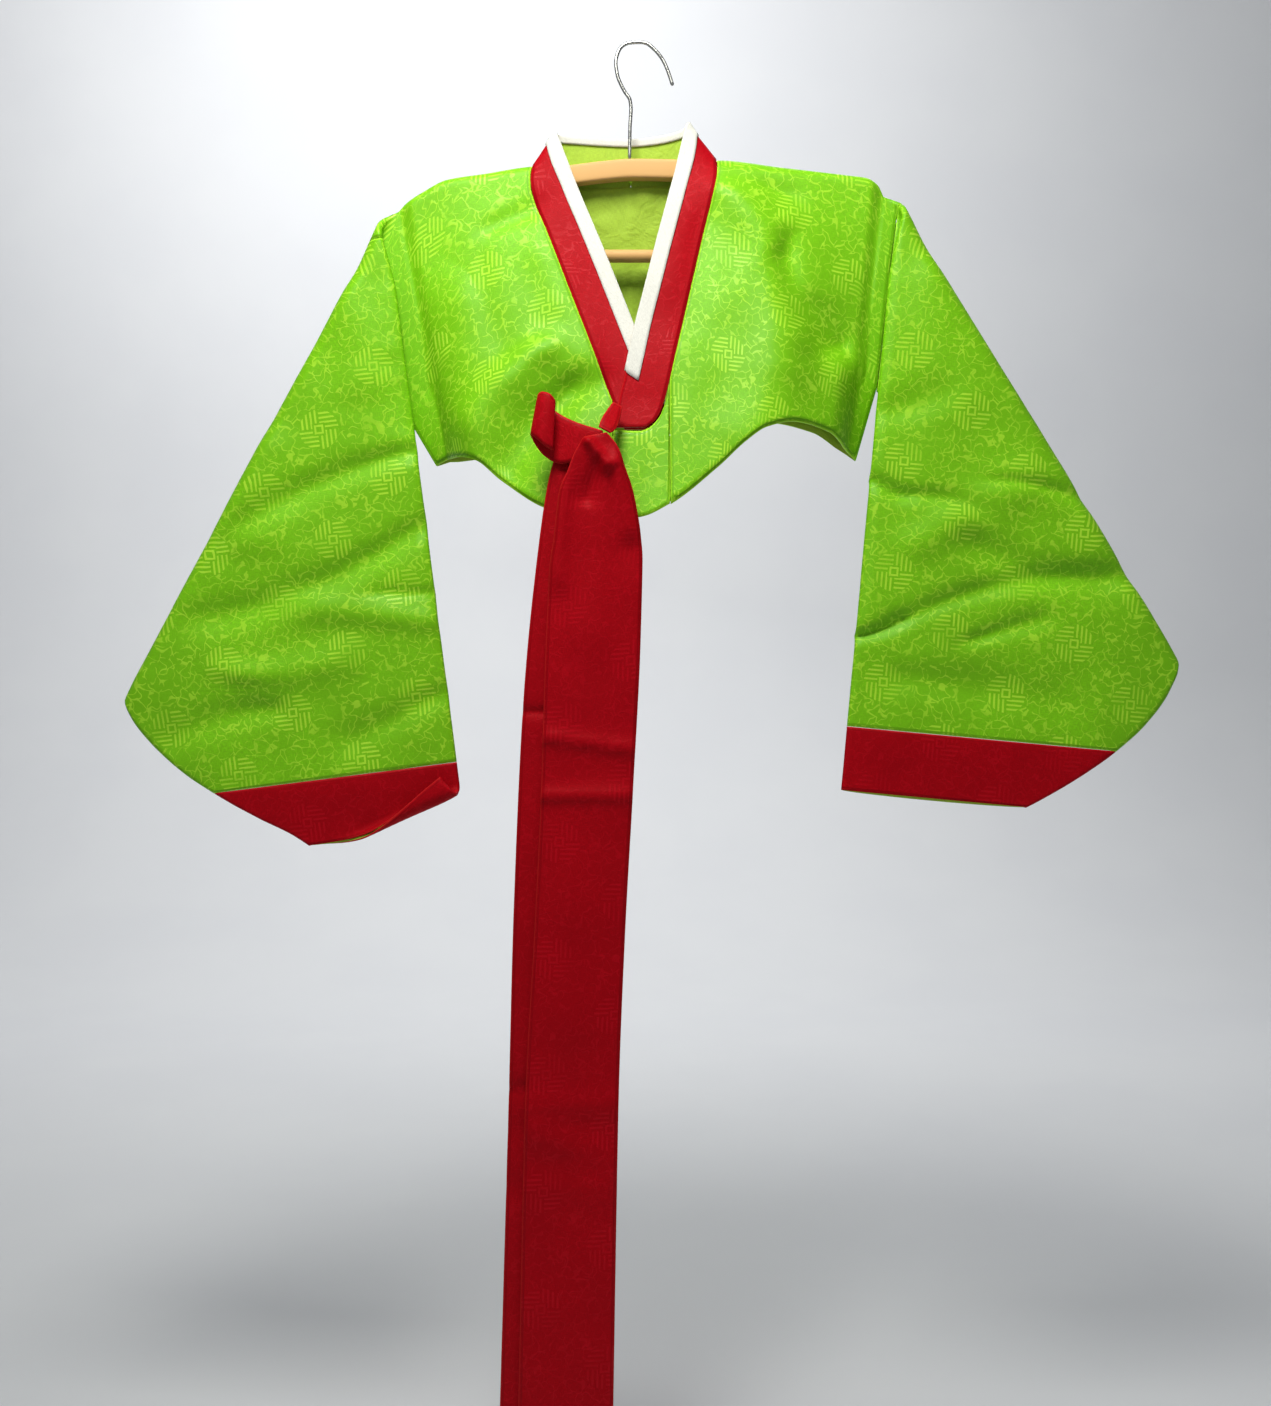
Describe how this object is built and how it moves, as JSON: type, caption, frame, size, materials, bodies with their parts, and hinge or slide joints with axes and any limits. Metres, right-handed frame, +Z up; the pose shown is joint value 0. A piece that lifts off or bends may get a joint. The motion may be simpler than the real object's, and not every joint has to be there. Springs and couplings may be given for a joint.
{
  "type": "hanbok jacket (jeogori) on a wooden hanger",
  "caption": "Women's hanbok jacket of figured cloth with red collar, cuffs and tie ribbons, hung on a wooden hanger.",
  "frame": {"origin": "inside top of the hanger's hook, where a rail or ring carries it", "axes": "+Z up, -Y toward the front of the jacket, +X to the viewer's right"},
  "size_m": [0.9058, 0.1204, 1.2482],
  "materials": {
    "green_cloth": "satin figured weave",
    "red_cloth": "satin figured weave",
    "white_cloth": "matt",
    "lining_cloth": "matt",
    "wood": "varnished",
    "steel_wire": "satin"
  },
  "bodies": {
    "root": {"bodice_left": "green_cloth", "bodice_right": "green_cloth", "overlap_outer": "green_cloth", "overlap_inner": "green_cloth", "sleeve_left": "green_cloth", "sleeve_right": "green_cloth", "cuff_left": "red_cloth", "cuff_right": "red_cloth", "collar": "red_cloth", "collar_strip": "white_cloth", "ribbon_front_tail": "red_cloth", "ribbon_rear_tail": "red_cloth", "ribbon_loop": "red_cloth", "ribbon_stub": "red_cloth", "back_lining": "lining_cloth", "hanger_yoke": "wood", "hanger_bar": "wood", "hanger_hook": "steel_wire"}
  },
  "joints": []
}
